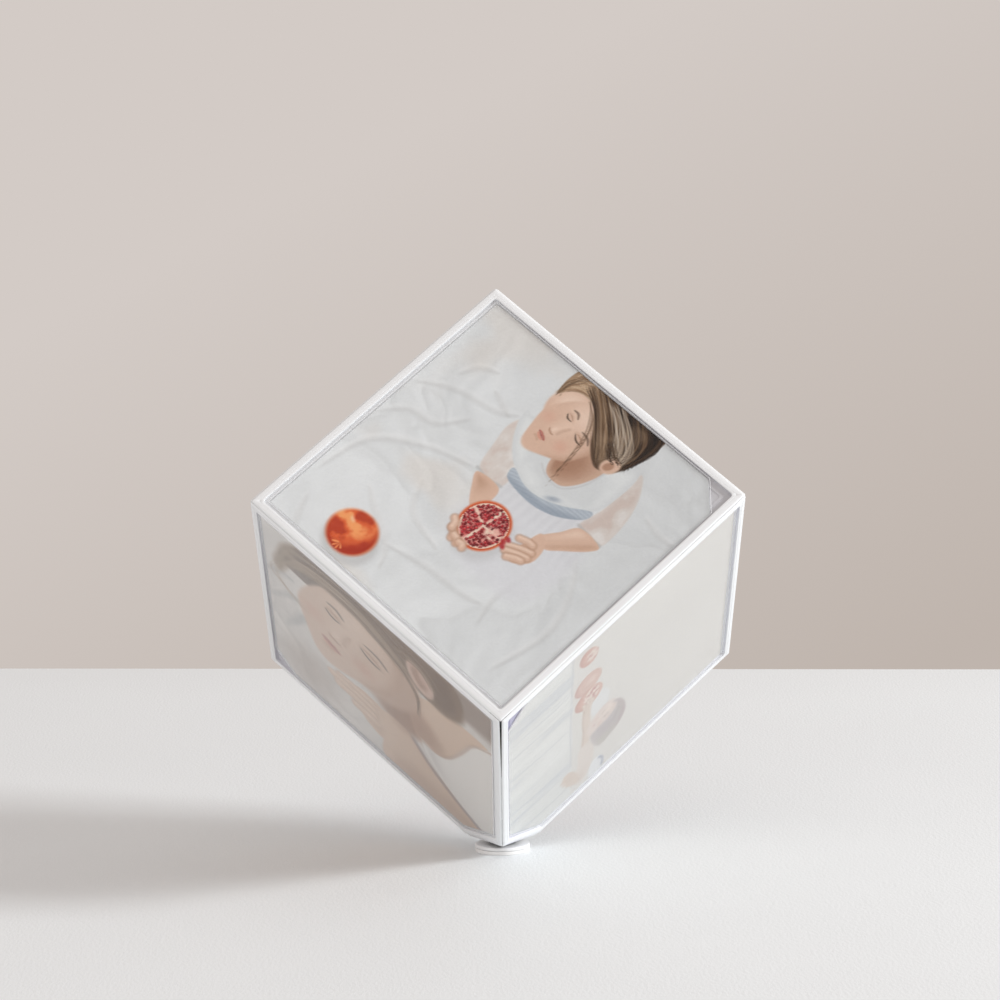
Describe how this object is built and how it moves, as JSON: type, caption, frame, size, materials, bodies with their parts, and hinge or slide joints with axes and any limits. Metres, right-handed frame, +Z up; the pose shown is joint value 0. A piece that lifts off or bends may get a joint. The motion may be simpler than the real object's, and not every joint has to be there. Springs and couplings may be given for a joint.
{
  "type": "rotating photo cube",
  "caption": "Six-panel photo cube standing on one corner on a small disc foot, with clear lift-off covers over prints and a battery gear drive that turns it about its upright diagonal.",
  "frame": {"origin": "on the resting surface under the middle of the foot", "axes": "+Z up along the spin axis, which is the cube's body diagonal; the edge between the two front lower panels faces -Y, with +X to the viewer's right"},
  "size_m": [0.1344, 0.1552, 0.16],
  "materials": {
    "white_plastic": "satin moulded white",
    "clear_acrylic": "polished clear sheet",
    "print_paper": "gloss photographic print",
    "black_plastic": "satin",
    "grey_plastic": "satin",
    "rubber": "matte",
    "gear_nylon": "satin",
    "brass": "machined",
    "steel": "brushed",
    "cell_jacket": "plain printed sleeve",
    "lead_red": "insulation",
    "lead_black": "insulation"
  },
  "bodies": {
    "foot": {"foot_pad": "rubber", "foot_disc": "white_plastic", "foot_shaft": "steel", "shaft_clip": "steel", "output_gear": "gear_nylon"},
    "cube": {"back_lower_frame": "white_plastic", "back_lower_print": "print_paper", "back_right_upper_frame": "white_plastic", "back_right_upper_print": "print_paper", "battery_cradle": "black_plastic", "bearing_bush": "black_plastic", "compound_axle": "steel", "contact_spring": "steel", "corner_block_lower_front": "white_plastic", "corner_block_lower_left": "white_plastic", "corner_block_lower_right": "white_plastic", "corner_block_top": "white_plastic", "corner_block_upper_back": "white_plastic", "corner_block_upper_left": "white_plastic", "corner_block_upper_right": "white_plastic", "corner_boss": "white_plastic", "cradle_post_left": "grey_plastic", "cradle_post_right": "grey_plastic", "front_left_lower_frame": "white_plastic", "front_left_lower_print": "print_paper", "front_right_lower_frame": "white_plastic", "front_right_lower_print": "print_paper", "front_upper_frame": "white_plastic", "front_upper_print": "print_paper", "gear_plate_pillar_1": "grey_plastic", "gear_plate_pillar_2": "grey_plastic", "gear_plate_pillar_3": "grey_plastic", "gear_plate_screw_1": "steel", "gear_plate_screw_2": "steel", "gear_plate_screw_3": "steel", "geared_motor": "steel", "lead_cell_to_motor": "lead_black", "lead_cell_to_switch": "lead_red", "lead_switch_to_motor": "lead_red", "lower_gear_plate": "grey_plastic", "negative_contact": "steel", "positive_contact": "steel", "switch_body": "black_plastic", "upper_gear_plate": "grey_plastic"},
    "hatch": {"back_left_upper_frame": "white_plastic", "back_left_upper_print": "print_paper"},
    "compound": {"compound_gear": "gear_nylon"},
    "motor_drive": {"motor_pinion": "brass", "motor_shaft": "steel"},
    "switch": {"switch_slider": "white_plastic"},
    "cell": {"battery_cell": "cell_jacket"},
    "front_upper_lid": {"front_upper_cover": "clear_acrylic"},
    "back_right_upper_lid": {"back_right_upper_cover": "clear_acrylic"},
    "back_left_upper_lid": {"back_left_upper_cover": "clear_acrylic"},
    "front_left_lower_lid": {"front_left_lower_cover": "clear_acrylic"},
    "front_right_lower_lid": {"front_right_lower_cover": "clear_acrylic"},
    "back_lower_lid": {"back_lower_cover": "clear_acrylic"}
  },
  "joints": [
    {"name": "cube_spin", "type": "hinge", "parent": "foot", "child": "cube", "pos_m": [0, 0, 0], "axis": [0, 0, 1], "continuous": true},
    {"name": "compound_spin", "type": "hinge", "parent": "cube", "child": "compound", "pos_m": [-0.01039, -0.006, 0.03], "axis": [0, 0, 1], "continuous": true},
    {"name": "motor_spin", "type": "hinge", "parent": "cube", "child": "motor_drive", "pos_m": [0, -0.012, 0.033], "axis": [0, 0, 1], "continuous": true},
    {"name": "hatch_lift", "type": "slide", "parent": "cube", "child": "hatch", "axis": [-0.7071, 0.4082, 0.5774], "range_m": [0, 0.03]},
    {"name": "cell_lift", "type": "slide", "parent": "cube", "child": "cell", "axis": [0, 0, 1], "range_m": [0, 0.018]},
    {"name": "switch_slide", "type": "slide", "parent": "cube", "child": "switch", "axis": [0, 1, 0], "range_m": [0, 0.004]},
    {"name": "front_upper_cover_lift", "type": "slide", "parent": "cube", "child": "front_upper_lid", "axis": [0, -0.8165, 0.5773], "range_m": [0, 0.008]},
    {"name": "back_right_upper_cover_lift", "type": "slide", "parent": "cube", "child": "back_right_upper_lid", "axis": [0.7071, 0.4082, 0.5774], "range_m": [0, 0.008]},
    {"name": "back_left_upper_cover_lift", "type": "slide", "parent": "hatch", "child": "back_left_upper_lid", "axis": [-0.7071, 0.4082, 0.5774], "range_m": [0, 0.008]},
    {"name": "front_left_lower_cover_lift", "type": "slide", "parent": "cube", "child": "front_left_lower_lid", "axis": [-0.7071, -0.4082, -0.5774], "range_m": [0, 0.008]},
    {"name": "front_right_lower_cover_lift", "type": "slide", "parent": "cube", "child": "front_right_lower_lid", "axis": [0.7071, -0.4082, -0.5774], "range_m": [0, 0.008]},
    {"name": "back_lower_cover_lift", "type": "slide", "parent": "cube", "child": "back_lower_lid", "axis": [0, 0.8165, -0.5773], "range_m": [0, 0.008]}
  ],
  "couplings": [
    {"joint": "compound_spin", "follows": "cube_spin", "ratio": 3},
    {"joint": "motor_spin", "follows": "cube_spin", "ratio": -9}
  ]
}
